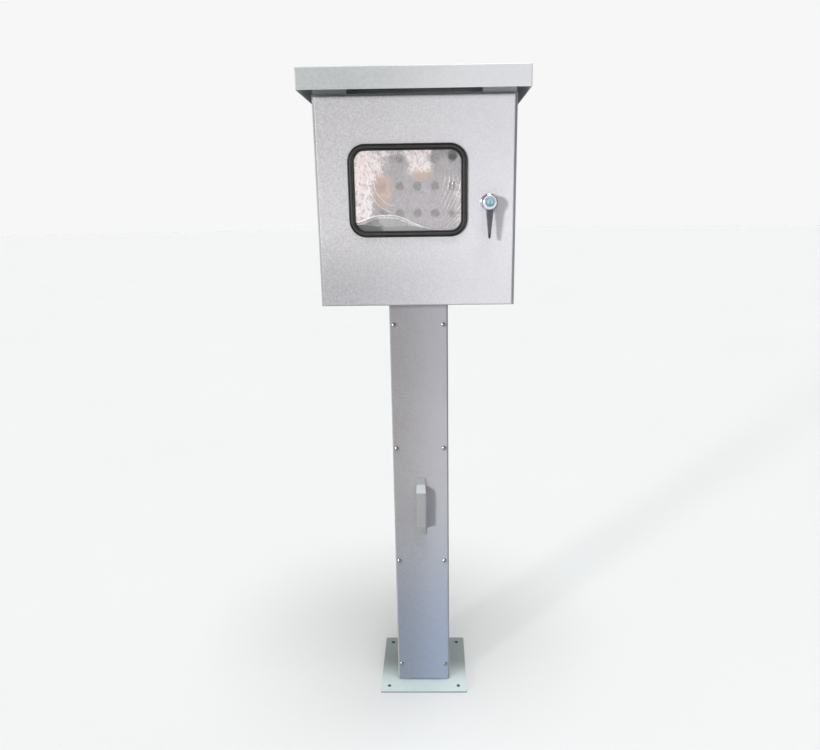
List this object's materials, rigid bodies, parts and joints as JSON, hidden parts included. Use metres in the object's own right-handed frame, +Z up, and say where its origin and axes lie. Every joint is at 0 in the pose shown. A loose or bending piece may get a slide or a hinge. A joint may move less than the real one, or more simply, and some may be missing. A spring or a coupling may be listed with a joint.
{
  "type": "street fire alarm box",
  "caption": "Floor-standing outdoor alarm cabinet with a windowed, lockable door, an inner panel of push-button holes, a rain canopy and a hollow post on an anchored base plate.",
  "frame": {"origin": "centre of the base plate's underside", "axes": "+Z up, front face of the cabinet towards -Y, hinges on the -X side of the door"},
  "size_m": [0.548, 0.397, 1.7681],
  "materials": {
    "base_paint": "light grey textured powder coat",
    "post_paint": "light grey textured powder coat",
    "cover_paint": "light grey textured powder coat",
    "handle_paint": "light grey textured powder coat",
    "cabinet_paint": "light grey textured powder coat",
    "door_paint": "light grey orange-peel powder coat",
    "panel_paint": "light grey textured powder coat",
    "canopy_paint": "light grey textured powder coat",
    "galvanised": "zinc-plated sheet steel",
    "screw_steel": "bright steel fasteners",
    "zinc_yellow": "yellow-passivated weld nuts",
    "chrome": "polished chromed zinc casting",
    "key_steel": "polished steel key cylinder",
    "brass": "plain brass",
    "rubber": "black extruded rubber",
    "strip_rubber": "grey locking strip",
    "foam": "black foamed gasket",
    "clear_pane": "clear acrylic pane",
    "clear_film": "clear wrinkled protective film",
    "black_plastic": "moulded polyamide",
    "grey_plastic": "moulded polyamide",
    "green_plastic": "moulded polyamide"
  },
  "bodies": {
    "cabinet": {"base_plate": "base_paint", "post_channel": "post_paint", "post_top_plate": "galvanised", "post_pad": "rubber", "post_cover": "cover_paint", "cover_screws": "screw_steel", "cover_nuts": "zinc_yellow", "cover_handle": "handle_paint", "handle_screws": "screw_steel", "cabinet_body": "cabinet_paint", "cabinet_bolts": "screw_steel", "cabinet_nuts": "screw_steel", "gland_plate": "galvanised", "gland_plate_screws": "screw_steel", "cable_glands": "black_plastic", "gland_locknuts": "black_plastic", "earth_stud": "brass", "earth_nuts": "brass", "mounting_studs": "galvanised", "mounting_plate": "galvanised", "mounting_nuts": "screw_steel", "din_rail": "galvanised", "rail_screws": "screw_steel", "terminal_blocks": "grey_plastic", "earth_terminal": "green_plastic", "end_stops": "black_plastic", "panel_bracket_left": "cabinet_paint", "panel_bracket_right": "cabinet_paint", "inner_panel": "panel_paint", "panel_screws": "screw_steel", "panel_nuts": "zinc_yellow", "hinge_frame_leaves": "galvanised", "hinge_pins": "screw_steel", "hinge_screws": "screw_steel", "canopy": "canopy_paint", "canopy_spacers": "canopy_paint", "spacer_bolts": "screw_steel", "spacer_nuts": "screw_steel", "canopy_screws": "screw_steel", "canopy_washers": "rubber", "canopy_nuts": "screw_steel"},
    "door": {"door_shell": "door_paint", "door_gasket": "foam", "window_seal": "rubber", "seal_locking_strip": "strip_rubber", "window_pane": "clear_pane", "protective_film": "clear_film", "hinge_door_leaves": "galvanised", "lock_housing": "chrome", "lock_nut": "galvanised"},
    "lever": {"lever_handle": "chrome", "lever_spindle": "galvanised", "lock_cam": "galvanised", "cam_screw": "screw_steel"},
    "key": {"key_barrel": "key_steel"}
  },
  "joints": [
    {"name": "door_hinge", "type": "hinge", "parent": "cabinet", "child": "door", "pos_m": [-0.237, -0.161, 1.4555], "axis": [0, 0, -1], "range_deg": [0, 120]},
    {"name": "lever_turn", "type": "hinge", "parent": "door", "child": "lever", "pos_m": [0.181, -0.17, 1.4565], "axis": [0, 1, 0], "range_deg": [0, 90]},
    {"name": "key_turn", "type": "hinge", "parent": "lever", "child": "key", "pos_m": [0.181, -0.2, 1.4565], "axis": [0, 1, 0], "range_deg": [0, 90]}
  ]
}
